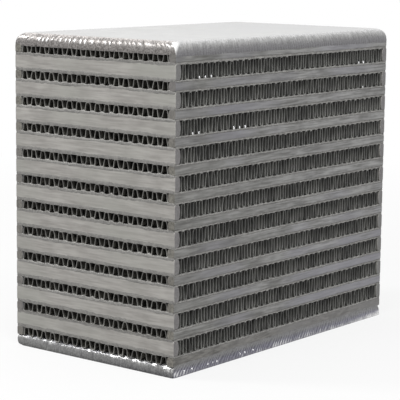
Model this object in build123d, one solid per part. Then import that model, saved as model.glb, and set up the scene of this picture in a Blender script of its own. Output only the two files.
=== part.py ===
"""Bar-and-plate intercooler core in brazed aluminium, without its end tanks.

Flat layers are stacked along Z between two thick end plates. Charge air crosses the narrow
layers along X, and cooling air crosses the taller layers between them along Y. Each layer is
one corrugated fin, shut off along its two sides by a pair of solid bars, and a thin parting
sheet lies between each layer and the next. The bars of a layer are brazed to the sheet or
plate under them and form one solid with it.

Millimetres, +Z up. The origin is the middle of the underside, on which the core stands.
"""
import os
from math import sqrt

from build123d import *

# Whole core
core_length = 198.0             # along X, the way the charge air flows
core_depth = 114.3              # along Y, the way the cooling air flows
charge_layer_count = 12         # with one cooling layer between each and the next
sheet_thickness = 0.6

# End plates, whose welded rims are rounded over
plate_thickness = 6.0
plate_rim_radius = 4.5
plate_corner_chamfer = 3.0      # seen from above

# Charge layers, open on the two narrow faces
charge_layer_height = 4.8
charge_bar_width = 4.9          # from its back to the tip of its nose
charge_bar_nose = 1.0
charge_fin_pitch = 6.48         # one whole wave, which is two legs
charge_fin_foil = 0.3
charge_fin_land = 0.4           # flat on the outside of each fold

# Cooling layers, open on the two long faces
cooling_layer_height = 8.35
cooling_bar_width = 4.5
cooling_bar_nose = 1.1
cooling_fin_pitch = 4.96
cooling_fin_foil = 0.25

# Fits
fin_side_clearance = 0.05       # at least this much between a fin and the bar beside it
fin_recess = 0.4                # from a face of the core back to the ends of its fins


def closing_bar(length, height, width, nose):
    """A bar along X whose flat back lies at Y = 0 and whose rounded nose points to +Y."""
    shoulder = width - nose
    with BuildPart() as bar:
        with BuildSketch(Plane.YZ):
            with BuildLine():
                Polyline((shoulder, 0), (0, 0), (0, height), (shoulder, height))
                ThreePointArc((shoulder, height), (width, height / 2), (shoulder, 0))
            make_face()
        extrude(amount=length / 2, both=True)
    return bar.part


def charge_bars():
    """The two bars that shut a charge layer along the long faces."""
    bar = closing_bar(core_length, charge_layer_height, charge_bar_width, charge_bar_nose)
    front = Pos(0, -core_depth / 2, 0) * bar
    return front + front.mirror(Plane.XZ)


def cooling_bars():
    """The two bars that shut a cooling layer along the narrow faces."""
    bar = closing_bar(core_depth, cooling_layer_height, cooling_bar_width, cooling_bar_nose)
    left = Pos(-core_length / 2, 0, 0) * Rot(0, 0, -90) * bar
    return left + left.mirror(Plane.YZ)


def corrugated_fin(flow_length, height, span, pitch, foil, land):
    """Foil folded to and fro between Z = 0 and Z = height, in as many waves as fit the span.

    The legs run straight from fold to fold. Their two sides are parallel and one foil apart,
    which sets how far the inside of a fold lies from the opposite sheet. Air flows along X.
    """
    half_pitch = pitch / 2
    leg_run = half_pitch - land / 2
    inner_run = half_pitch - land
    slant = sqrt(height**2 + inner_run**2 - foil**2)
    inner_height = leg_run * (height * inner_run - foil * slant) / (inner_run**2 - foil**2)
    wave_count = int((span - land) // pitch)

    upper_side, lower_side = [], []
    for fold in range(2 * wave_count + 1):
        y = (fold - wave_count) * half_pitch
        outside = [y - land / 2, y + land / 2] if land else [y]
        if fold % 2:
            upper_side += [(edge, height) for edge in outside]
            lower_side.append((y, inner_height))
        else:
            lower_side += [(edge, 0) for edge in outside]
            upper_side.append((y, height - inner_height))

    with BuildPart() as fin:
        with BuildSketch(Plane.YZ):
            Polygon(*upper_side, *reversed(lower_side), align=None)
        extrude(amount=flow_length / 2, both=True)
    return fin.part


def charge_fin():
    """The fin of a charge layer, open towards -X and +X."""
    return corrugated_fin(
        flow_length=core_length - 2 * fin_recess,
        height=charge_layer_height,
        span=core_depth - 2 * (charge_bar_width + fin_side_clearance),
        pitch=charge_fin_pitch,
        foil=charge_fin_foil,
        land=charge_fin_land,
    )


def cooling_fin():
    """The fin of a cooling layer, open towards -Y and +Y, with sharp folds."""
    fin = corrugated_fin(
        flow_length=core_depth - 2 * fin_recess,
        height=cooling_layer_height,
        span=core_length - 2 * (cooling_bar_width + fin_side_clearance),
        pitch=cooling_fin_pitch,
        foil=cooling_fin_foil,
        land=0,
    )
    return Rot(0, 0, 90) * fin


def parting_sheet():
    """The sheet that keeps the air of one layer from the next, with its top at Z = 0."""
    return Box(core_length, core_depth, sheet_thickness, align=(Align.CENTER, Align.CENTER, Align.MAX))


def end_plate():
    """A thick plate on Z = 0 with its corners cut off and its upper rim rounded over."""
    plate = Box(core_length, core_depth, plate_thickness, align=(Align.CENTER, Align.CENTER, Align.MIN))
    plate = chamfer(plate.edges().filter_by(Axis.Z), plate_corner_chamfer)
    rim_radius = min(plate_rim_radius, 0.9 * plate_thickness)
    return fillet(plate.faces().sort_by(Axis.Z)[-1].edges(), rim_radius)


def stack_core():
    """Every piece of the core in its place, by name, from the bottom end plate upwards."""
    plate = end_plate()
    charge_tray = parting_sheet() + charge_bars()
    cooling_tray = parting_sheet() + cooling_bars()
    charge, cooling = charge_fin(), cooling_fin()

    z = plate_thickness
    pieces = {"bottom_plate": Pos(0, 0, z) * (plate.mirror(Plane.XY) + charge_bars())}
    for number in range(1, charge_layer_count + 1):
        pieces[f"charge_fin_{number:02d}"] = Pos(0, 0, z) * charge
        z += charge_layer_height
        if number == charge_layer_count:
            break
        z += sheet_thickness
        pieces[f"parting_sheet_{2 * number - 1:02d}"] = Pos(0, 0, z) * cooling_tray
        pieces[f"cooling_fin_{number:02d}"] = Pos(0, 0, z) * cooling
        z += cooling_layer_height + sheet_thickness
        pieces[f"parting_sheet_{2 * number:02d}"] = Pos(0, 0, z) * charge_tray
    pieces["top_plate"] = Pos(0, 0, z) * plate
    return pieces


os.makedirs("parts", exist_ok=True)
for name, piece in stack_core().items():
    export_step(piece, f"parts/{name}.step")
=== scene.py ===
import math

import bpy
import numpy as np
from mathutils import Matrix, Vector


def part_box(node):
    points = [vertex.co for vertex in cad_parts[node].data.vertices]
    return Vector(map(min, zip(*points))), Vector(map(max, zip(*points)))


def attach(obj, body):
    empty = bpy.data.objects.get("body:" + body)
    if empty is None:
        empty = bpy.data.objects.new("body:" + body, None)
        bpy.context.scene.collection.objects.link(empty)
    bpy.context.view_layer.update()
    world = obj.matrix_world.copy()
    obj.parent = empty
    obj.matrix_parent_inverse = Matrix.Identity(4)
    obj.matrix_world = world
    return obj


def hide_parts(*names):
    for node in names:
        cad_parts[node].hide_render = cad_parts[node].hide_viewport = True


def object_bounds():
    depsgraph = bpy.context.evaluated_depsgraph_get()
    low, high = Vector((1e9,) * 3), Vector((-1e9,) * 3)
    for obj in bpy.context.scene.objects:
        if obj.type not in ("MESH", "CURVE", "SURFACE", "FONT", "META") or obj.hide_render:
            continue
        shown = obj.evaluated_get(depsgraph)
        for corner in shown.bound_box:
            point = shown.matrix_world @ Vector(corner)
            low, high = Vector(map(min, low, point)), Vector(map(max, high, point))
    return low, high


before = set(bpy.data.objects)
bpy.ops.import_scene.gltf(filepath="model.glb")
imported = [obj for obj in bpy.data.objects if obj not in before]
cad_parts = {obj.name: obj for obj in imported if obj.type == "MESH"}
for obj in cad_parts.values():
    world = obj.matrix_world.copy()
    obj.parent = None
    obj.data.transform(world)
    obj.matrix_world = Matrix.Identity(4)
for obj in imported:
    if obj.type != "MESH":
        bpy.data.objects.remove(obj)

cad_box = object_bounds()
mm = 0.001

# ---------------------------------------------------------------------------------------------
# Charge fins
# Thin aluminium foil folded into flat-topped waves, one piece in each narrow layer. The folds
# are brazed to the sheets above and below, and the cut ends show as bright edges round dark
# channels, dark partly from real shade and partly from painted shade.
# ---------------------------------------------------------------------------------------------


def rounded_line(corners, reach, steps):
    """A polyline with each inner corner rounded by the parabola (1-t)^2 A + 2t(1-t) C + t^2 B,
    where C is the corner and A and B lie up to `reach` from it along its two runs."""
    into = corners[1:-1] - corners[:-2]
    out = corners[2:] - corners[1:-1]
    into_length = np.linalg.norm(into, axis=1, keepdims=True)
    out_length = np.linalg.norm(out, axis=1, keepdims=True)
    cut = np.minimum(reach, 0.45 * np.minimum(into_length, out_length))
    before = corners[1:-1] - into / into_length * cut
    after = corners[1:-1] + out / out_length * cut
    t = np.linspace(0, 1, steps)[None, :, None]
    bends = ((1 - t) ** 2 * before[:, None] + 2 * t * (1 - t) * corners[1:-1, None]
             + t**2 * after[:, None])
    return np.concatenate([corners[:1], bends.reshape(-1, 2), corners[-1:]])


def finished_mesh(name, points, faces, crease_degrees=35):
    """A mesh object at the origin from an (n, 3) array of points and a list of faces, smooth
    apart from many-sided faces and edges that turn by more than the crease angle."""
    mesh = bpy.data.meshes.new(name)
    mesh.from_pydata(points.tolist(), [], faces)
    mesh.polygons.foreach_set("use_smooth", np.array([len(face) < 5 for face in faces]))
    mesh.set_sharp_from_angle(angle=math.radians(crease_degrees))
    mesh.update()
    piece = bpy.data.objects.new(name, mesh)
    bpy.context.scene.collection.objects.link(piece)
    return piece


def mark(piece, name, values):
    """Keeps a number from 0 to 1 for each point of a mesh, which its finish reads."""
    kept = piece.data.attributes.new(name, "FLOAT", "POINT")
    kept.data.foreach_set("value", np.ascontiguousarray(values, dtype=np.float32).ravel())


def ring_quads(rows, count):
    """Quads between each ring of `count` points and the next: a point, the one beside it, and
    those two on the next ring in reverse."""
    first = np.arange(rows - 1)[:, None] * count
    here = (first + np.arange(count)).ravel()
    beside = (first + (np.arange(count) + 1) % count).ravel()
    return np.stack([here, beside, beside + count, here + count], 1)


def foil_strip(name, centre_line, foil, stations, along_x):
    """Foil of even thickness that follows an open centre line across the layer and is carried
    straight along the flow. Its two skins lie half a foil to each side of the line, along its
    normals, and strips of quads close its ends and its two outer edges."""
    tangent = np.gradient(centre_line, axis=0)
    tangent /= np.linalg.norm(tangent, axis=1, keepdims=True)
    normal = np.stack([-tangent[:, 1], tangent[:, 0]], 1)
    skin = normal * foil / 2
    loop = np.concatenate([centre_line + skin, (centre_line - skin)[::-1]])
    count, rows = len(loop), len(stations)
    across = np.tile(loop[:, 0], rows)
    height = np.tile(loop[:, 1], rows)
    flow = np.repeat(stations, count)
    points = np.stack([flow, across, height] if along_x else [across, flow, height], 1)

    skins = ring_quads(rows, count)[:, [0, 3, 2, 1]]
    i = np.arange(count // 2 - 1)
    near_end = np.stack([i, i + 1, count - 2 - i, count - 1 - i], 1)
    far_end = near_end[:, ::-1] + (rows - 1) * count
    faces = np.concatenate([skins, near_end, far_end])
    if not along_x:
        faces = faces[:, ::-1]
    strip = finished_mesh(name, points, faces.tolist())
    mark(strip, "rise", (height - height.min()) / np.ptp(height))
    return strip


class Wire:
    """One output in a node tree. Arithmetic on wires and numbers adds Math nodes."""

    def __init__(self, nodes, socket):
        self.nodes = nodes
        self.socket = socket

    def maths(self, operation, first, second, clamp=False):
        return self.nodes.node("ShaderNodeMath", {"operation": operation, "use_clamp": clamp},
                               {0: first, 1: second})

    def __add__(self, other):
        return self.maths("ADD", self, other)

    __radd__ = __add__

    def __sub__(self, other):
        return self.maths("SUBTRACT", self, other)

    def __rsub__(self, other):
        return self.maths("SUBTRACT", other, self)

    def __mul__(self, other):
        return self.maths("MULTIPLY", self, other)

    __rmul__ = __mul__

    def __truediv__(self, other):
        return self.maths("DIVIDE", self, other)

    def __abs__(self):
        return self.maths("ABSOLUTE", self, 0.0)

    def clamped(self):
        """The same number held between 0 and 1."""
        return self.maths("ADD", self, 0.0, clamp=True)


class NodeTree:
    """A tree of nodes, which are added one at a time with node()."""

    def __init__(self, tree):
        self.tree = tree

    def node(self, kind, settings=None, sockets=None, output=0):
        """Adds a node, applies its settings, then fills its sockets with values or wires."""
        made = self.tree.nodes.new(kind)
        for key, value in (settings or {}).items():
            if key == "stops":
                ramp = made.color_ramp.elements
                while len(ramp) < len(value):
                    ramp.new(1.0)
                for element, (position, shade) in zip(ramp, value):
                    element.position, element.color = position, shade
            else:
                setattr(made, key, value)
        for key, value in (sockets or {}).items():
            self.fill(made.inputs[key], value)
        return Wire(self, made.outputs[output])

    def fill(self, socket, value):
        if isinstance(value, Wire):
            self.tree.links.new(value.socket, socket)
        else:
            socket.default_value = value


class Finish(NodeTree):
    """A material, whose nodes are wired to its shader."""

    def __init__(self, name):
        self.material = bpy.data.materials.new(name)
        self.material.use_nodes = True
        super().__init__(self.material.node_tree)
        self.shader = self.tree.nodes["Principled BSDF"]
        self.place = self.node("ShaderNodeTexCoord", output="Object")

    def along(self, axis):
        """One Object coordinate, in metres."""
        return self.node("ShaderNodeSeparateXYZ", {}, {0: self.place}, output=axis)

    def noise(self, scale, detail=2.0, stretch=(1, 1, 1), roughness=0.5):
        """Noise between 0 and 1 on Object coordinates, in waves per metre, stretched by axis."""
        place = self.node("ShaderNodeMapping", {}, {"Vector": self.place, "Scale": stretch})
        sockets = {"Vector": place, "Scale": scale, "Detail": detail, "Roughness": roughness}
        return self.node("ShaderNodeTexNoise", {}, sockets)

    def ramp(self, factor, *stops):
        """A number from 0 to 1 turned into a grey level by straight pieces between stops."""
        shades = [(position, (level, level, level, 1)) for position, level in stops]
        return self.node("ShaderNodeValToRGB", {"stops": shades}, {"Fac": factor})

    def blend(self, factor, first, second):
        """A colour between two colours, or wires that carry colours."""
        return self.node("ShaderNodeMix", {"data_type": "RGBA"},
                         {0: factor, 6: first, 7: second}, output=2)

    def stain(self, factor, colour, shade):
        """A colour multiplied by a shade where the factor is 1, and left alone where it is 0."""
        return self.node("ShaderNodeMix", {"data_type": "RGBA", "blend_type": "MULTIPLY"},
                         {0: factor, 6: colour, 7: shade}, output=2)

    def kept(self, name):
        """A number from 0 to 1 that the mesh keeps at each point, as mark() wrote it."""
        return self.node("ShaderNodeAttribute", {"attribute_name": name}, output="Fac")

    def facing_up(self):
        """How far the surface faces up: the height of its normal, 0 where it faces down."""
        normal = self.node("ShaderNodeNewGeometry", output="Normal")
        return self.node("ShaderNodeSeparateXYZ", {}, {0: normal}, output="Z").clamped()

    def bump(self, height, distance, strength):
        """A normal from a height between 0 and 1 that stands for this distance in metres."""
        return self.node("ShaderNodeBump", {},
                         {"Height": height, "Distance": distance, "Strength": strength})

    def wear(self, colour, roughness, metallic, normal=None):
        """Joins the finished colour, roughness, metallic level and normal to the shader."""
        self.fill(self.shader.inputs["Base Color"], colour)
        self.fill(self.shader.inputs["Roughness"], roughness)
        self.fill(self.shader.inputs["Metallic"], metallic)
        if normal is not None:
            self.fill(self.shader.inputs["Normal"], normal)


def foil_finish(name, axis, mouth, lip_colour, dark_colour, light_colour, unshaded_depth, floor_depth):
    """Brazed foil: bright on its cut edge and darkened inside by painted shade, in uneven patches.

    The depth behind the face is (mouth - |coordinate|), which is 0 at the open end. The painted
    shade sets in over one depth, and where the foil faces up, over a second depth besides, as
    painted light on the floors of the channels. It is painted darker towards the high folds, as
    shade cast by the sheet above."""
    finish = Finish(name)
    depth = mouth - abs(finish.along(axis))
    patches = finish.noise(330, 3)
    broad = finish.noise(90, 2)
    # Painted shade inside the channel, held back on faces that look up by painted light from above.
    shade_depth = finish.facing_up() * floor_depth + unshaded_depth
    level = (depth / shade_depth + (patches - 0.5) * 0.5).clamped()
    inside = finish.blend(finish.ramp(patches, (0.4, 0), (0.62, 1)), dark_colour, light_colour)
    lip = finish.stain(finish.ramp(broad, (0.36, 1), (0.6, 0)), lip_colour, (0.55, 0.55, 0.56, 1))
    # Painted shade towards the high folds, as cast by the sheet above.
    colour = finish.stain(finish.ramp(finish.kept("rise"), (0.08, 0), (0.7, 1)),
                          finish.blend(level, lip, inside), (0.6, 0.6, 0.6, 1))
    grain = finish.noise(2600, 2)
    finish.wear(colour, 0.3 + patches * 0.3, 0.55, finish.bump(grain, 0.03 * mm, 0.4))
    return finish.material


charge_foil = 0.4 * mm
charge_folds = 33                   # low and high ones together
charge_wave = 6.66 * mm             # from one low fold to the next
charge_crest = 2.55 * mm            # flat width of each fold
charge_bend = 0.8 * mm              # how far its rounding reaches along each run
charge_jitter = 0.16 * mm           # how far its corners are off by chance
charge_bow = 0.12 * mm              # and the middles of its legs
charge_fin_seed = 100
bend_steps = 5                      # points on each rounding
charge_fin_count = sum(name.startswith("charge_fin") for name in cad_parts)
fin_inset = 0.4 * mm
# The dark and light colours inside are painted shade in the channels.
charge_fin_finish = foil_finish("charge_fin_foil", "X", cad_box[1].x - fin_inset,
                                lip_colour=(0.285, 0.279, 0.26, 1),
                                dark_colour=(0.039, 0.039, 0.033, 1),
                                light_colour=(0.192, 0.185, 0.16, 1),
                                unshaded_depth=1.1 * mm, floor_depth=2.5 * mm)


def folded_line(chance, low_edge, high_edge, low_level, high_level, folds, wave, crest, jitter,
                bow, bend):
    """The centre line of a folded foil: two corners to each fold and one halfway along each
    leg, set off by chance, then rounded. Folds lie half a wave apart, low and high by turns."""
    middles = (np.arange(folds) - folds // 2) * wave / 2
    levels = np.where(np.arange(folds) % 2, high_level, low_level)
    left = middles - crest / 2 + chance.normal(0, jitter, folds)
    right = middles + crest / 2 + chance.normal(0, jitter, folds)
    halfway = (right[:-1] + left[1:]) / 2 + chance.normal(0, bow, folds - 1)
    half_level = np.full(folds - 1, (low_level + high_level) / 2)
    across = np.append(np.stack([left[:-1], right[:-1], halfway], 1).ravel(), left[-1])[1:]
    height = np.append(np.stack([levels[:-1], levels[:-1], half_level], 1).ravel(), levels[-1])[1:]
    corners = np.stack([np.clip(across, low_edge, high_edge), height], 1)
    return rounded_line(corners, bend, bend_steps)


for number in range(1, charge_fin_count + 1):
    node = f"charge_fin_{number:02d}"
    low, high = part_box(node)
    chance = np.random.default_rng(charge_fin_seed + number)
    line = folded_line(chance, low.y, high.y, low.z + charge_foil / 2, high.z - charge_foil / 2,
                       charge_folds, charge_wave, charge_crest, charge_jitter, charge_bow,
                       charge_bend)
    fin = foil_strip(node.replace("fin", "fin_foil"), line, charge_foil,
                     np.array([low.x, 0, high.x]), along_x=True)
    fin.data.materials.append(charge_fin_finish)
    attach(fin, "root")
    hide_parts(node)

# ---------------------------------------------------------------------------------------------
# Cooling fins
# Finer foil, folded into tall, nearly upright waves with round folds. It is soft, so its legs
# lean and bow a little, each in its own way.
# ---------------------------------------------------------------------------------------------
cooling_foil = 0.3 * mm
cooling_folds = 77
cooling_wave = 4.96 * mm
cooling_crest = 2.1 * mm
cooling_bend = 1.0 * mm
cooling_jitter = 0.2 * mm
cooling_bow = 0.2 * mm
cooling_fin_seed = 200
cooling_fin_count = sum(name.startswith("cooling_fin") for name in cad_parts)
# The dark and light colours inside are painted shade in the channels.
cooling_fin_finish = foil_finish("cooling_fin_foil", "Y", cad_box[1].y - fin_inset,
                                 lip_colour=(0.34, 0.34, 0.322, 1),
                                 dark_colour=(0.152, 0.154, 0.14, 1),
                                 light_colour=(0.325, 0.326, 0.31, 1),
                                 unshaded_depth=3.0 * mm, floor_depth=5 * mm)

for number in range(1, cooling_fin_count + 1):
    node = f"cooling_fin_{number:02d}"
    low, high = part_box(node)
    chance = np.random.default_rng(cooling_fin_seed + number)
    line = folded_line(chance, low.x, high.x, low.z + cooling_foil / 2, high.z - cooling_foil / 2,
                       cooling_folds, cooling_wave, cooling_crest, cooling_jitter, cooling_bow,
                       cooling_bend)
    fin = foil_strip(node.replace("fin", "fin_foil"), line, cooling_foil,
                     np.array([low.y, 0, high.y]), along_x=False)
    fin.data.materials.append(cooling_fin_finish)
    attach(fin, "root")
    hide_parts(node)

# ---------------------------------------------------------------------------------------------
# Closing bars
# Solid drawn aluminium bars that shut the sides of each layer, two to a layer, sawn to length.
# Their outer edges are rounded and their inner side is a blunt nose beside the fin.
# ---------------------------------------------------------------------------------------------


def carried_outline(outline, stations, bend, end_scale):
    """A closed outline of (depth, height) points carried along a straight path and capped.

    `bend` has one (depth, height) shift for each station, and the first and last outline are
    smaller by `end_scale`. Returns the depth, path and height of each point, and the faces."""
    rows, count = len(stations), len(outline)
    middle = outline.mean(0)
    scale = np.ones(rows)
    scale[[0, -1]] = end_scale
    rings = middle + (outline[None] - middle) * scale[:, None, None] + bend[:, None, :]
    faces = ring_quads(rows, count).tolist()
    faces.append(list(range(count))[::-1])
    faces.append(list(range((rows - 1) * count, rows * count)))
    return rings[..., 0].ravel(), np.repeat(stations, count), rings[..., 1].ravel(), faces


def bar_outline(height, width, nose, recess, edge):
    """Depth and height of a bar's section: two outer corners rounded by quarter ellipses, deep
    by half of `edge` and high by `edge`, and a nose that spans the angles of an arc between the
    shoulders, with its middle drawn out blunt to the bar's full width."""
    turn = np.linspace(0, math.pi / 2, 6)
    upper = [recess + edge / 2 * (1 - np.sin(turn)), height - edge * (1 - np.cos(turn))]
    lower = [recess + edge / 2 * (1 - np.cos(turn)), edge * (1 - np.sin(turn))]
    radius = (nose**2 + (height / 2) ** 2) / (2 * nose)
    half_turn = math.asin(height / 2 / radius)
    swing = np.linspace(-half_turn, half_turn, 9)
    depth = width - radius + radius * np.cos(swing)
    depth[1:-1] = width - nose * 0.45 * (1 - np.cos(swing[1:-1] / half_turn * math.pi / 2) ** 3)
    front = [depth, height / 2 + radius * np.sin(swing)]
    return np.concatenate([upper, lower, front], 1).T


def gentle_waves(chance, stations, size, waves=5):
    """A sum of sines along the path that stays within about `size`. They make 1.7, 3.4, 5.1 ...
    turns over its length, weaker as they get shorter, and start at chance phases."""
    span = stations[-1] - stations[0]
    turns = np.arange(1, waves + 1) * 1.7
    phase = chance.uniform(0, 2 * math.pi, waves)
    share = 1 / np.sqrt(np.arange(1, waves + 1))
    together = (np.sin(2 * math.pi * turns * stations[:, None] / span + phase) * share).sum(1)
    return size * together / (1.5 * np.sqrt((share**2).sum()))


def drawn_finish(name, streak, darker_tone, bright, tint, sawn_shade=(1, 1, 1, 1), left_shade=(1, 1, 1, 1),
                 smoothest=0.36, metallic=0.45):
    """Drawn and brazed bar: blotches a few millimetres across, fine streaks along its length,
    and a faint stain of another shade in broad patches. Its sawn ends have their own shade, and
    so has the metal towards the left end of the core."""
    finish = Finish(name)
    broad = finish.noise(14, 2)
    blotches = finish.noise(70, 4, roughness=0.6)
    streaks = finish.noise(600, 3, stretch=streak)
    scratches = finish.noise(1100, 2, stretch=streak)
    mottle = finish.ramp(blotches * 0.3 + streaks * 0.35 + scratches * 0.35, (0.4, 0), (0.6, 1))
    colour = finish.blend(mottle, darker_tone, bright)
    colour = finish.blend(finish.ramp(broad, (0.45, 0), (0.62, 0.7)), colour, tint)
    colour = finish.stain(finish.kept("sawn"), colour, sawn_shade)
    from_left = (finish.along("X") + half_length) / (2 * half_length) + (broad - 0.5) * 0.5
    colour = finish.stain(finish.ramp(from_left.clamped(), (0.1, 1), (0.55, 0)), colour, left_shade)
    normal = finish.bump(streaks * 0.5 + scratches * 0.5, 0.05 * mm, 0.5)
    finish.wear(colour, smoothest + 0.2 * blotches, metallic, normal)
    return finish.material


half_length, half_depth = cad_box[1].x, cad_box[1].y
bar_recess = 0.2 * mm               # behind the face of the core
bar_edge = 1.0 * mm
bar_wave = 0.06 * mm
bar_end_inset = 0.15 * mm
bar_end_chamfer, bar_end_scale = 0.25 * mm, 0.94
bar_stations = 60
charge_bar_width, charge_bar_nose = 4.9 * mm, 1.0 * mm
cooling_bar_width, cooling_bar_nose = 4.5 * mm, 1.1 * mm
charge_bar_seed, cooling_bar_seed = 300, 400
along_x_finish = drawn_finish("bar_drawn_along_x", streak=(0.08, 1, 1),
                              darker_tone=(0.15, 0.148, 0.143, 1), bright=(0.355, 0.353, 0.348, 1),
                              tint=(0.272, 0.268, 0.30, 1), sawn_shade=(0.66, 0.635, 0.58, 1),
                              left_shade=(0.8, 0.8, 0.78, 1))
by_weld_finish = drawn_finish("bar_by_weld", streak=(0.2, 1, 1),
                              darker_tone=(0.13, 0.126, 0.12, 1), bright=(0.28, 0.272, 0.26, 1),
                              tint=(0.2, 0.197, 0.195, 1), sawn_shade=(0.8, 0.78, 0.74, 1),
                              left_shade=(0.9, 0.9, 0.88, 1))
along_y_finish = drawn_finish("bar_drawn_along_y", streak=(1, 0.08, 1),
                              darker_tone=(0.226, 0.216, 0.202, 1), bright=(0.33, 0.319, 0.299, 1),
                              tint=(0.266, 0.266, 0.242, 1), sawn_shade=(0.7, 0.7, 0.745, 1))


def bar_pair(name, height, width, nose, floor_level, half_path, half_gap, along_x, finish, seed):
    """Both bars of a layer as one piece: a bar on one side and its mirror image on the other."""
    outline = bar_outline(height, width, nose, bar_recess, bar_edge)
    end = half_path - bar_end_inset
    inner = np.linspace(-end + bar_end_chamfer, end - bar_end_chamfer, bar_stations)
    stations = np.concatenate([[-end], inner, [end]])
    points, faces = [], []
    for side in (-1, 1):
        chance = np.random.default_rng(seed + side)
        bend = np.stack([gentle_waves(chance, stations, bar_wave) + bar_wave,
                         gentle_waves(chance, stations, 0.05 * mm)], 1)
        depth, path, rise, bar_faces = carried_outline(outline, stations, bend, bar_end_scale)
        out, level = side * (half_gap - depth), floor_level + rise
        if (side < 0) != along_x:
            bar_faces = [face[::-1] for face in bar_faces]
        base = sum(len(p) for p in points)
        points.append(np.stack([path, out, level] if along_x else [out, path, level], 1))
        faces += [[corner + base for corner in face] for face in bar_faces]
    piece = finished_mesh(name, np.concatenate(points), faces)
    sawn = np.zeros((2, len(stations), len(outline)))
    sawn[:, [0, -1]] = 1
    mark(piece, "sawn", sawn)
    piece.data.materials.append(finish)
    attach(piece, "root")
    return piece


for number in range(1, charge_fin_count + 1):
    low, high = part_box(f"charge_fin_{number:02d}")
    finish = along_x_finish if number > 1 else by_weld_finish
    bars = bar_pair(f"charge_bars_{number:02d}", high.z - low.z, charge_bar_width, charge_bar_nose,
                    low.z, half_length, half_depth, True, finish, charge_bar_seed + 2 * number)
    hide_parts("bottom_plate" if number == 1 else f"parting_sheet_{2 * number - 2:02d}")

for number in range(1, cooling_fin_count + 1):
    low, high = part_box(f"cooling_fin_{number:02d}")
    bars = bar_pair(f"cooling_bars_{number:02d}", high.z - low.z, cooling_bar_width,
                    cooling_bar_nose, low.z, half_depth, half_length, False, along_y_finish,
                    cooling_bar_seed + 2 * number)
    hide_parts(f"parting_sheet_{2 * number - 1:02d}")

# ---------------------------------------------------------------------------------------------
# Parting sheets
# Clad sheet between one layer and the next. Braze metal has run along its edges and swelled
# them into wavy beads that lap over the bars and hang in small points between the folds.
# ---------------------------------------------------------------------------------------------


def rim_path(half_x, half_y, corner, counts):
    """Rings of points round a rectangle with round corners, and their outward normals.

    Half sizes and corner radius are arrays with a row for each ring. Each ring has the same
    number of points on each run and corner: on a run a point lies at an even share of its
    length, and on a corner at an even share of the quarter turn."""
    run_x, run_y, turn_count = counts
    sign_x, sign_y = (1, 1, -1, -1), (-1, 1, 1, -1)
    centres = [np.stack([sign_x[side] * (half_x - corner), sign_y[side] * (half_y - corner)], -1)
               for side in range(4)]
    points, normals = [], []
    for side in range(4):
        along = (run_x, run_y, run_x, run_y)[side]
        heading = side * math.pi / 2
        outward = np.array([math.sin(heading), -math.cos(heading)])
        share = (np.arange(along) / along)[None, :, None]
        start, stop = centres[side - 1][:, None], centres[side][:, None]
        points.append(start * (1 - share) + stop * share + corner[:, None, None] * outward)
        normals.append(np.tile(outward, (along, 1)))
        angle = heading - math.pi / 2 + np.arange(turn_count) / turn_count * math.pi / 2
        swing = np.stack([np.cos(angle), np.sin(angle)], -1)
        points.append(stop + corner[:, None, None] * swing[None])
        normals.append(swing)
    return np.concatenate(points, 1), np.concatenate(normals)


def ringed_mesh(name, rings, crease_degrees):
    """Rings of points joined by quads, with the first and last ring filled by flat faces."""
    rows, count = rings.shape[:2]
    faces = ring_quads(rows, count)[:, ::-1].tolist()
    faces.append(list(range(count)))
    faces.append(list(range((rows - 1) * count, rows * count))[::-1])
    return finished_mesh(name, rings.reshape(-1, 3), faces, crease_degrees)


def fold_points(turns, sharpness):
    """1 where `turns` is whole and 0 halfway between: a raised cosine, to the given power."""
    return (0.5 + 0.5 * np.cos(2 * math.pi * turns)) ** sharpness


def braze_finish(name, darker_tone, bright, seam):
    """Braze metal: fine mottled grain in two shades, and darker where the sheet marks it: painted
    shade in the seam where it meets a bar, and a darker tone elsewhere.
    """
    finish = Finish(name)
    blotches = finish.noise(260, 4, roughness=0.65)
    mottle = blotches * 0.6 + finish.noise(1500, 2) * 0.4
    colour = finish.blend(finish.ramp(mottle, (0.4, 0), (0.62, 1)), darker_tone, bright)
    # Painted shade in the seam by the bar, and the other darkening that the sheet marks.
    colour = finish.stain((finish.kept("hollow") * (0.35 + blotches)).clamped(), colour, seam)
    finish.wear(colour, 0.42 + 0.2 * blotches, 0.45, finish.bump(mottle, 0.06 * mm, 0.5))
    return finish.material


sheet_thickness = 0.6 * mm
half_sheet = sheet_thickness / 2
sheet_inset, sheet_corner = 0.9 * mm, 0.3 * mm      # of the flat sheet, inside its bead
bead_depth, bead_corner = 0.5 * mm, 0.8 * mm
sheet_rim_counts = (340, 196, 3)
sheet_crease = 50
sheet_seed = 500
last_sheet = charge_fin_count + cooling_fin_count - 1
sheet_finish = braze_finish("braze_bead", darker_tone=(0.20, 0.196, 0.188, 1),
                            bright=(0.37, 0.364, 0.348, 1), seam=(0.22, 0.21, 0.20, 1))

# From the flat top of the sheet, round the bead to the flat underside.
turn = np.linspace(math.pi / 2, -math.pi / 2, 7)
depth = np.concatenate([[sheet_inset], bead_depth * (1 - np.cos(turn)), [sheet_inset]])
rise = np.concatenate([[0.5], np.sin(turn), [-0.5]])[:, None]
on_bead = (depth < sheet_inset)[:, None]
corner = np.where(on_bead[:, 0], bead_corner, sheet_corner)
even_rings, normal = rim_path(half_length - depth, half_depth - depth, corner, sheet_rim_counts)
s = np.linspace(0, 1, len(normal))                  # share of the way round
long_share = normal[:, 1] ** 2                      # 1 on the long sides, 0 on the short ones

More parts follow.
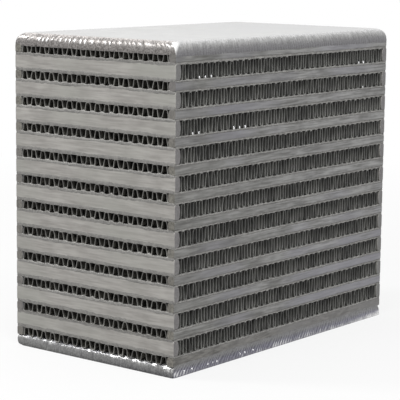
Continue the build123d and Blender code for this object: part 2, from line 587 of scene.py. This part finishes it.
for number in range(1, last_sheet + 1):
    node = f"parting_sheet_{number:02d}"
    low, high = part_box(node)
    chance = np.random.default_rng(sheet_seed + number)
    # Cooling bars lie above odd sheets and below even ones. How far the bead laps over a bar,
    # how far it and its points reach the other way, and how dark it is, differ between the two.
    long_lap, long_base, above = 0.8 * mm, 0.42 * mm, number % 2 == 1
    if above:
        bar_side, short_lap, short_base = 1, 1.9 * mm, 0.4 * mm
        long_point, short_point = 0.35 * mm, 0.15 * mm
        seam_shade, seam_from, short_darkening = 0.75, -0.1, 0.6
    else:
        bar_side, short_lap, short_base = -1, 1.6 * mm, 0.42 * mm
        long_point, short_point = 0.75 * mm, 0.75 * mm
        seam_shade, seam_from, short_darkening = 0.95, 0.1, 0.32
    if number == last_sheet:
        long_base = 0.75 * mm
    to_bar = bar_side * (1 - 2 * long_share)        # 1 where the bar is above, -1 below
    lap = (long_share * long_lap + (1 - long_share) * short_lap
           + gentle_waves(chance, s, 0.22 * mm, 110))
    # Braze points reach into the open layer, some long and some short, one to a fold.
    on_long = fold_points(even_rings[3, :, 0] / cooling_wave + 0.5 * (not above), 5)
    on_short = fold_points(even_rings[3, :, 1] / charge_wave + 0.5 * above, 1.5)
    uneven = np.clip(0.6 + gentle_waves(chance, s, 0.6, 70), 0.05, 1.2)
    reach = (long_share * (long_base + uneven * on_long * long_point)
             + (1 - long_share) * (short_base + uneven * on_short * short_point))
    edge_level = np.where(rise * to_bar > 0, lap, reach) * rise * np.abs(to_bar)
    wander = gentle_waves(chance, s, 0.14 * mm, 90)
    level = low.z + half_sheet + np.where(on_bead, edge_level + wander, rise * sheet_thickness)
    setback = (0.05 * mm + np.abs(gentle_waves(chance, s, 0.12 * mm, 120))) * on_bead
    rings = np.concatenate([even_rings - normal * setback[..., None], level[..., None]], 2)
    sheet = ringed_mesh(node.replace("parting_", "brazed_"), rings, sheet_crease)
    # Painted shade in the seam where the bead meets the bar; the short sides are darker besides.
    seam = np.clip((depth[:, None] - 0.02 * mm) / (0.1 * mm), 0, 1)
    # Where a charge fin stands on the sheet, its edge is darker, in one layer more than in another.
    fin_side_darkening = (1 - long_share) * (0 if above else chance.uniform(0.35, 0.85))
    mark(sheet, "hollow", np.where(rise * to_bar > seam_from,
                                   np.maximum(seam * seam_shade, (1 - long_share) * short_darkening),
                                   fin_side_darkening))
    sheet.data.materials.append(sheet_finish)
    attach(sheet, "root")
    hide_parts(node)

# ---------------------------------------------------------------------------------------------
# Braze drops
# Here and there a bright drop of braze metal has set on a low fold of a cooling fin, just
# inside the face.
# ---------------------------------------------------------------------------------------------
drop_rings, drop_sides, drop_crease = 6, 10, 60
drop_size = np.array([0.5, 0.32, 1.0]) * mm         # half sizes of the ellipsoid
drop_inset, drop_rise = 0.55 * mm, 0.7 * mm
drop_seed = 700
folds_with_drops = {9: (-17, -16, -10, -9, -8), 10: (15,), 11: (-16, -15, -14, 14, 15)}
drop_metal = Finish("braze_drop")
drop_spots = drop_metal.noise(900, 2)
drop_metal.wear(drop_metal.blend(drop_spots, (0.97, 0.97, 0.98, 1), (0.80, 0.80, 0.82, 1)),
                0.12 + 0.15 * drop_spots, 1.0, drop_metal.bump(drop_spots, 0.03 * mm, 0.4))


def set_drops(name, middles, sizes):
    """Drops of set metal, as one piece. Each is a closed ellipsoid, with rings of points at even
    polar angles between its two poles."""
    polar = np.linspace(0, math.pi, drop_rings + 2)[1:-1, None]
    azimuth = np.arange(drop_sides) / drop_sides * 2 * math.pi
    ball = np.stack([np.sin(polar) * np.cos(azimuth), np.sin(polar) * np.sin(azimuth),
                     np.cos(polar) * np.ones(drop_sides)], -1).reshape(-1, 3)
    ball = np.concatenate([ball, [[0, 0, 1], [0, 0, -1]]])
    top_pole, bottom_pole = np.full(drop_sides, len(ball) - 2), np.full(drop_sides, len(ball) - 1)
    top_ring = np.arange(drop_sides)
    bottom_ring = top_ring + (drop_rings - 1) * drop_sides
    ball_faces = (ring_quads(drop_rings, drop_sides)[:, [0, 3, 2, 1]].tolist()
                  + np.stack([top_pole, top_ring, np.roll(top_ring, -1)], 1).tolist()
                  + np.stack([bottom_pole, np.roll(bottom_ring, -1), bottom_ring], 1).tolist())
    points = np.array(middles)[:, None] + np.array(sizes)[:, None] * ball
    faces = [[corner + base for corner in face]
             for base in range(0, len(ball) * len(middles), len(ball)) for face in ball_faces]
    piece = finished_mesh(name, points.reshape(-1, 3), faces, drop_crease)
    piece.data.materials.append(drop_metal.material)
    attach(piece, "root")
    return piece


chance = np.random.default_rng(drop_seed)
middles, sizes = [], []
for turn_round in (1, -1):
    for number, folds in folds_with_drops.items():
        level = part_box(f"cooling_fin_{number:02d}")[0].z + drop_rise
        for fold in folds:
            middles.append([turn_round * fold * cooling_wave,
                            -turn_round * (half_depth - drop_inset), level])
            sizes.append(drop_size * chance.uniform(0.75, 1.1))
set_drops("braze_drops", middles, sizes)

# ---------------------------------------------------------------------------------------------
# End plates
# Thick aluminium plates above and below the stack. A weld runs round their rims and laps onto
# the layer beside them. Its scales stand nearly upright round the top plate. Below, they slant
# on the long sides, and the short sides have lumps.
# ---------------------------------------------------------------------------------------------


def weld_finish(name, low, span, stops, tint, end_stops, end_tint, end_speck, shade_and_grime_colour,
                sparkle):
    """Weld metal: satin and mottled. Its shade follows height, from `low` up over `span`: partly
    the weld's own tone and partly painted light and shade. It is broken up by upright streaks
    and fine specks, tinted towards the bottom, and darker in its hollows with painted shade and
    grime. The short sides have stops of their own, painted lighter or darker for the way light
    falls on them, and a tint and specks of their own. Where a highlight is painted it is nearly
    white, broken up by `sparkle`."""
    finish = Finish(name)
    blotches = finish.noise(170, 4, roughness=0.6)
    streaks = finish.noise(650, 2, stretch=(1, 1, 0.1))
    grain = finish.noise(1300, 3)
    specks = finish.ramp(grain, (0.42, 1), (0.56, 0))
    end = finish.kept("end")
    # Painted light and shade by height, with stops of their own for the short sides.
    height = (finish.along("Z") - low) / span + (blotches - 0.5) * 0.3
    streaked = finish.ramp((height + (streaks - 0.5) * 0.45).clamped(), *stops)
    streaked = finish.stain(finish.ramp(height, (0.3, 1), (0.6, 0)), streaked, tint)
    speckled = finish.ramp((height + (grain - 0.5) * 0.3).clamped(), *end_stops)
    speckled = finish.stain(1.0, speckled, end_tint)
    colour = finish.blend(end, streaked, speckled)
    colour = finish.stain(specks, colour, (0.78, 0.78, 0.78, 1))
    colour = finish.stain(specks * end, colour, end_speck)
    colour = finish.stain(finish.kept("hollow"), colour, shade_and_grime_colour)
    # Painted highlights, nearly white, where the mesh marks them.
    broken = 0.6 + blotches * 0.8 + (grain - 0.5) * (0.25 + 0.75 * end) * sparkle
    polish = finish.ramp(finish.kept("polish") * broken, (0.25, 0), (0.75, 1))
    colour = finish.blend(polish, colour, (0.93, 0.93, 0.92, 1))
    normal = finish.bump(blotches * 0.5 + grain * 0.5, 0.07 * mm, 0.5)
    finish.wear(colour, 0.24 + 0.2 * blotches - 0.1 * polish, 0.5, normal)
    return finish.material


def weld_scales(chance, s, rise, pitch, slant, uneven=0.25):
    """Height of a weld between 0 and 1. The scales are domes with sharp valleys where
    s / pitch + slant * rise is whole, and their spacing and height vary by chance along s."""
    drift = gentle_waves(chance, s, 0.8, 40)
    size = 1 - uneven + gentle_waves(chance, s, uneven, 90)
    phase = s / pitch + slant * rise + drift
    return np.clip(size, 0.3, 1) * np.abs(np.sin(math.pi * phase)) ** 0.9


def crumple(chance, shape, size):
    """Heights by chance, all positive. Each follows the sum of a point's own normal draw and
    those of its two neighbours round the rim."""
    rough = chance.normal(0, 1, shape)
    return np.abs(rough + np.roll(rough, 1, 1) + np.roll(rough, -1, 1)) * size / 2


def side_mix(short_value, long_value):
    """A value that differs between the short and the long sides, mixed round the corners."""
    return short_value + (long_value - short_value) * long_share[None]


def ramped(value, zero_at, one_at):
    """0 up to the first place and 1 from the second on, with an even slope between them."""
    return np.clip((value - zero_at) / (one_at - zero_at), 0, 1)


def rim_rows(*parts):
    """Values round the rim, a row for each ring. A part is one number, one row, or a column or
    block with a row for each of several rings."""
    return np.concatenate([np.atleast_2d(part) * np.ones(len(s)) for part in parts])


def plate_mesh(name, depth, drop, lean, relief, polish, darker_tone, face_level, up, plain_strips, metal):
    """Rings round the rim: depth inwards and drop from the face, both moved into the metal by
    `relief`, shared between the two by `lean`. The first `plain_strips` between the rings are
    bare plate and the others weld, darkened in its hollows by painted shade and grime, and by at
    least the extra darkening it is given."""
    middle_depth = depth.mean(1)
    corner = plate_corner + 0.75 * np.clip(depth, 0, 3.5 * mm).max(1)
    rings, normal = rim_path(half_length - middle_depth, half_depth - middle_depth, corner,
                             plate_rim_counts)
    rings = rings - normal * (depth + relief * lean - middle_depth[:, None])[..., None]
    level = face_level - up * (drop + relief * (1 - lean))
    rings = np.concatenate([rings, level[..., None]], 2)
    # Painted shade and grime in the weld's hollows, never less than the extra darkening.
    hollow = np.maximum(np.clip(relief / (0.4 * mm), 0, 1) ** 1.5, darker_tone)
    strip_of_face = np.repeat(np.arange(len(rings) - 1), len(s))
    if up < 0:
        rings, hollow, polish = rings[::-1], hollow[::-1], polish[::-1]
        strip_of_face = strip_of_face[::-1]
    plate = ringed_mesh(name, rings, plate_crease)
    mark(plate, "hollow", hollow)
    mark(plate, "polish", polish)
    mark(plate, "end", np.broadcast_to(1 - long_share, hollow.shape))
    plate.data.materials.append(plate_face_finish)
    plate.data.materials.append(metal)
    is_weld = np.append(strip_of_face >= plain_strips, [False, False])
    plate.data.polygons.foreach_set("material_index", is_weld.astype(np.int32))
    return plate


plate_thickness, plate_corner = 6.0 * mm, 1.0 * mm
plate_inset = 6.0 * mm                              # of the innermost rings
plate_rim_counts, plate_crease = (560, 330, 14), 60
rim_steps, upper_steps = 20, 8
top_seed, bottom_seed = 601, 602
plate_face_finish = drawn_finish("end_plate_face", streak=(0.1, 1, 1), darker_tone=(0.50, 0.50, 0.495, 1),
                                 bright=(0.58, 0.58, 0.575, 1), tint=(0.54, 0.54, 0.545, 1),
                                 smoothest=0.6, metallic=0.15)
# The welds' stops paint light and shade by height, besides the weld's own tone.
top_weld = weld_finish("top_rim_weld", low=0.1660, span=8.65 * mm,
                       stops=((0.1, 0.20), (0.43, 0.27), (0.6, 0.38), (0.78, 0.55), (0.9, 0.76)),
                       tint=(0.97, 0.955, 1.0, 1),
                       end_stops=((0.1, 0.235), (0.43, 0.27), (0.72, 0.265), (0.84, 0.38),
                                  (0.97, 0.72)),
                       end_tint=(1.0, 0.945, 0.91, 1), end_speck=(0.72, 0.72, 0.72, 1),
                       shade_and_grime_colour=(0.5, 0.48, 0.46, 1), sparkle=0.6)
bottom_weld = weld_finish("bottom_rim_weld", low=0.0, span=9 * mm,
                          stops=((0.04, 0.25), (0.2, 0.37), (0.32, 0.35), (0.47, 0.29),
                                 (0.65, 0.255), (0.85, 0.19)),
                          tint=(0.92, 0.91, 1.06, 1),
                          end_stops=((0.06, 0.11), (0.2, 0.18), (0.40, 0.215), (0.50, 0.265),
                                     (0.6, 0.235), (0.7, 0.17)),
                          end_tint=(1.0, 1.0, 0.985, 1), end_speck=(0.95, 0.95, 0.95, 1),
                          shade_and_grime_colour=(0.4, 0.4, 0.45, 1), sparkle=3.0)

# The path round the rim, and where each of its points lies.
outer_ring, rim_normal = rim_path(np.array([half_length]), np.array([half_depth]),
                                  np.array([plate_corner]), plate_rim_counts)
around = outer_ring[0]
rim_x, rim_y = around.T
long_share = rim_normal[:, 1] ** 2
step = np.linalg.norm(np.roll(around, -1, 0) - around, axis=1)
s = np.concatenate([[0], np.cumsum(step)[:-1]])     # distance along the path
from_corner = np.hypot(half_length - np.abs(rim_x), half_depth - np.abs(rim_y))
off_corner = ramped(from_corner, 0, 7 * mm) ** 2
turn = np.linspace(0, math.pi / 2, rim_steps)[:, None]

# Top plate: its rim is an ellipse in section, taller on the long sides.
chance = np.random.default_rng(top_seed)
rim_depth, rim_height = 4.0 * mm, side_mix(5.6 * mm, 7.4 * mm)
end_drop = side_mix(7.0 * mm, 8.3 * mm) + gentle_waves(chance, s, 0.25 * mm, 80)
depth = rim_rows(plate_inset, 4.8 * mm, rim_depth * (1 - np.sin(turn)), 0.15 * mm, 0.5 * mm,
                 1.4 * mm, plate_inset)
drop = rim_rows(0, 0, rim_height * (1 - np.cos(turn)), end_drop - 0.35 * mm, end_drop,
                plate_thickness, plate_thickness)
lean = rim_rows(0, 0, np.sin(turn), 1, 1, 1, 1)
fade = rim_rows(0, 0, np.sin(math.pi * np.minimum(turn / (math.pi / 2), 0.8)) ** 0.5, 0.8, 0.4,
                0, 0)
up_rim = ramped(drop, 0, 6 * mm)
lower_part = ramped(drop, 3.0 * mm, 4.5 * mm)
domes = weld_scales(chance, s, up_rim, 4.0 * mm, -0.2, 0.12)
short_scales = (1 - domes) * 0.34 * mm * off_corner * (1 - 0.5 * lower_part)
long_scales = (1 - weld_scales(chance, s, up_rim, 2.1 * mm, -0.6)) * 0.22 * mm * off_corner
relief = fade * (short_scales * (1 - long_share) + long_scales * long_share
                 + crumple(chance, drop.shape, 0.24 * mm) * (0.05 + 0.95 * lower_part)
                 * side_mix(1, 0.3))
# Highlights are painted in a spot on each dome and at two corners, and painted shade darkens
# the weld towards the far end of each short side.
far_end = np.clip(-np.sign(rim_x) * rim_y / half_depth, 0, 1) * (1 - long_share)
spot_level, spot_reach = 3.05 * mm, 0.8 * mm
spots = (np.clip((domes - 0.83) / 0.12, 0, 1.2)
         * np.clip(1.6 - np.abs(drop - spot_level) / spot_reach, 0, 1)
         * np.clip(0.5 + from_corner / (16 * mm), 0, 1) * (1 - 0.42 * far_end))
corner_reach = ((2.9 * mm - 0.22 * drop + gentle_waves(chance, s, 0.5 * mm, 120))
                * (rim_x * rim_y > 0) * ramped(drop, 0, 0.8 * mm))
polish = np.maximum(np.clip((corner_reach - from_corner) / (2.2 * mm), 0, 1),
                    spots * (1 - long_share))
# Painted shade towards the far end of each short side.
darker_tone = 0.35 * far_end * np.clip(1.8 - np.abs(drop - 2.4 * mm) / (1 * mm), 0, 1)
top = plate_mesh("top_end_plate", depth, drop, lean, relief, polish, darker_tone,
                 face_level=cad_box[1].z, up=1, plain_strips=3, metal=top_weld)
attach(top, "root")
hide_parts("top_plate")

# Bottom plate: its foot is nearly sharp, apart from two corners. On the short sides the weld
# stands up in lumps and points among the fin's low folds, and on the long sides it laps up over
# the first bar.
round_foot = (rim_y > 0) * ramped(from_corner, 4 * mm, 0) ** 0.8
foot_depth = side_mix(0.2 * mm, 0.4 * mm) + 1.5 * mm * round_foot
foot_height = side_mix(0.25 * mm, 0.75 * mm) + 2.7 * mm * round_foot
from_left = (1 - np.sign(rim_y) * rim_x / half_length) / 2          # 0 to 1, on a long side
near_share = np.clip(0.5 + np.sign(rim_x) * rim_y / (2 * half_depth), 0, 1)     # on a short one
chance = np.random.default_rng(bottom_seed)
u = np.linspace(0, 1, upper_steps + 1)[1:, None]
points_up = (fold_points(rim_y / charge_wave, 3)
             * np.clip(0.5 + gentle_waves(chance, s, 0.8, 70), 0, 1.4))
crest = (2.1 * mm - 0.35 * mm * near_share**2
         + (0.8 * mm * points_up + gentle_waves(chance, s, 0.3 * mm, 90)) * off_corner)
upper_depth = side_mix(1.7 * mm * (1 - np.cos(u * math.pi / 2)), 0.26 * mm * u**2)
upper_rise = side_mix(3.8 * mm + crest * np.sin(u * math.pi / 2),
                      foot_height + (7.1 * mm - foot_height) * u)
depth = rim_rows(plate_inset, 3.4 * mm, foot_depth * (1 - np.sin(turn)), upper_depth,
                 side_mix(2.6 * mm, 0.6 * mm), plate_inset)
drop = rim_rows(0, 0, foot_height * (1 - np.cos(turn)), upper_rise, plate_thickness,
                plate_thickness)
lean = rim_rows(0, 0, np.sin(turn), side_mix(np.cos(u * math.pi / 2), 1), 0, 0)
up_rim = drop / (6 * mm)
ridges = weld_scales(chance, s, up_rim, 2.4 * mm, -1.4)
ridge_size = 0.46 * mm - 0.26 * mm * np.clip(-np.sign(rim_y) * rim_x / half_length, 0, 1)
long_fade = ramped(drop, 0, 1.6 * mm) * ramped(drop, 6.2 * mm, 3.7 * mm)
long_scales = (1 - ridges) * ridge_size * long_fade
lumps = (1 - weld_scales(chance, s, up_rim, 2.9 * mm, 0.2)) * 0.4 * mm * off_corner
short_fade = rim_rows(0, 0, np.zeros_like(turn), 0.1, 0.2, 0.35, 0.6, 0.9, 1, 1, 1, 0, 0)
edge_fade = rim_rows(0, 0, np.linspace(0.3, 1, rim_steps)[:, None], np.ones_like(u), 0, 0)
relief = (long_scales * long_share + lumps * short_fade * (1 - long_share)
          + crumple(chance, drop.shape, 0.1 * mm) * edge_fade * side_mix(1 + 1.4 * short_fade, 0.7))
# Highlights are painted in patches and at two corners on the short sides, and on the ridges
# and near the corners on the long ones, with a painted reflection along their foot. The foot of
# each short side is darker towards its near end.
patches = np.clip(gentle_waves(chance, s, 0.4, 60) + gentle_waves(chance, s, 0.9, 140)
                  + 0.35 * points_up, 0, 0.42)
corner_shine = 0.36 * np.exp(-from_corner / (6 * mm)) * (rim_x * rim_y > 0)
ridge_highlights = (ramped(ridges, 0.5, 0.85) * np.interp(from_left, (0.3, 0.75), (1, 0.4))
                 * np.clip(0.5 + gentle_waves(chance, s, 0.4, 30), 0.2, 0.8))
near_foot = ramped(drop, 0, 1 * mm) * ramped(drop, 4.8 * mm, 2.4 * mm)
foot_reflection = np.interp(from_left, (0.2, 0.35, 0.65, 0.82, 1), (0.1, 0.26, 0.3, 0.37, 0.56))
polish = side_mix(patches * ramped(drop, 3.0 * mm, 5.2 * mm)
                  + corner_shine * ramped(drop, 1.6 * mm, 4.2 * mm),
                  near_foot * (ridge_highlights + 0.25 * np.exp(-from_corner / (14 * mm)))
                  + foot_reflection * ramped(drop, 3.8 * mm, 0.6 * mm))
darker_tone = 0.9 * near_share**2 * (1 - long_share) * ramped(drop, 3.2 * mm, 0.6 * mm)
bottom = plate_mesh("bottom_end_plate", depth, drop, lean, relief, polish, darker_tone,
                    face_level=cad_box[0].z, up=-1, plain_strips=2, metal=bottom_weld)
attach(bottom, "root")
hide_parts("bottom_plate")

# Small round beads of spatter on the foot of the long sides.
bead_size = np.array([0.62, 0.36, 0.66]) * mm
bead_inset, bead_level = 0.4 * mm, 2.35 * mm
bead_places = np.array([-89.9, -83.3, -70.0, -65.7, -62.2, -41.5, -37.2, -29.7]) * mm
middles, sizes = [], []
for turn_round in (1, -1):
    for place in bead_places:
        middles.append([turn_round * place, -turn_round * (half_depth - bead_inset), bead_level])
        sizes.append(bead_size * chance.uniform(0.8, 1.1))
set_drops("foot_beads", middles, sizes)

# ---------------------------------------------------------------------------------------------
# Studio
# A plain white floor that keeps the shadow, and a pale room. Four soft lamps light the core,
# and the camera looks at it from a little above.
# ---------------------------------------------------------------------------------------------


def seen_directly(tree):
    """1 where a camera ray, a mirrored one or one through glass ends, and 0 for other light."""
    camera_ray, glossy_ray, through_ray = (
        tree.node("ShaderNodeLightPath", output=f"Is {kind} Ray")
        for kind in ("Camera", "Glossy", "Transmission"))
    return (camera_ray + glossy_ray + through_ray).clamped()


floor_size = 14
floor_finish = Finish("studio_floor")
floor_finish.wear((0.8, 0.8, 0.8, 1), 0.9, 0.0)
distance = floor_finish.node("ShaderNodeVectorMath", {"operation": "LENGTH"},
                             {0: floor_finish.place}, output=1)
glow = 0.82 + 0.18 * floor_finish.ramp(distance, (0.25, 0), (0.8, 1))
shown = floor_finish.node("ShaderNodeMixShader", {},
                          {0: seen_directly(floor_finish) * glow,
                           1: Wire(floor_finish, floor_finish.shader.outputs[0]),
                           2: floor_finish.node("ShaderNodeEmission")})
floor_finish.fill(floor_finish.tree.nodes["Material Output"].inputs["Surface"], shown)
bpy.ops.mesh.primitive_plane_add(size=floor_size, location=(0, 0, 0))
floor = bpy.context.object
floor.name = "studio_floor"
floor.data.materials.append(floor_finish.material)

world = bpy.data.worlds.new("studio")
bpy.context.scene.world = world
world.use_nodes = True
room = NodeTree(world.node_tree)
background = room.tree.nodes["Background"]
room.fill(background.inputs["Color"], (1, 1, 1, 1))
room.fill(background.inputs["Strength"], 0.2)
backdrop = room.node("ShaderNodeBackground", {}, {"Color": (1, 1, 1, 1), "Strength": 1.0})
shown = room.node("ShaderNodeMixShader", {},
                  {0: seen_directly(room), 1: Wire(room, background.outputs[0]), 2: backdrop})
room.fill(room.tree.nodes["World Output"].inputs["Surface"], shown)


def lamp(name, direction, reach, size, power):
    """A square area lamp at a distance from the core's middle, which it points at."""
    light = bpy.data.lights.new(name, "AREA")
    light.size, light.energy = size, power
    holder = bpy.data.objects.new(name, light)
    bpy.context.scene.collection.objects.link(holder)
    holder.location = core_middle + Vector(direction).normalized() * reach
    holder.rotation_euler = (core_middle - holder.location).to_track_quat("-Z", "Y").to_euler()


core_middle = Vector((0, 0, 0.09))
lamp("window", (-0.48, 0.67, 0.56), 1.5, 0.3, 9)
lamp("side", (-0.93, -0.12, 0.35), 1.5, 0.9, 8)
lamp("front", (-0.40, -0.53, 0.74), 1.5, 0.4, 6)
lamp("sky", (0, 0, 1), 1.5, 1.2, 12)

camera_place = Vector((-0.7350, -0.5814, 0.2235))
camera_heading = math.radians(38.608)               # from +X towards +Y
camera_dip = math.radians(8.913)
camera_roll = math.radians(0.592)
focal_pixels, picture_pixels = 1634.9, 400
camera_data = bpy.data.cameras.new("camera")
camera_data.sensor_width = 36
camera_data.lens = camera_data.sensor_width * focal_pixels / picture_pixels
camera_data.clip_start = 0.01
camera = bpy.data.objects.new("camera", camera_data)
bpy.context.scene.collection.objects.link(camera)
forward = Vector((math.cos(camera_dip) * math.cos(camera_heading),
                  math.cos(camera_dip) * math.sin(camera_heading), -math.sin(camera_dip)))
level_right = Vector((math.sin(camera_heading), -math.cos(camera_heading), 0))
level_up = level_right.cross(forward)
right = math.cos(camera_roll) * level_right + math.sin(camera_roll) * level_up
up = math.cos(camera_roll) * level_up - math.sin(camera_roll) * level_right
axes = Matrix((right, up, -forward)).transposed().to_4x4()
camera.matrix_world = Matrix.Translation(camera_place) @ axes
bpy.context.scene.camera = camera
bpy.context.scene.view_settings.view_transform = "Standard"
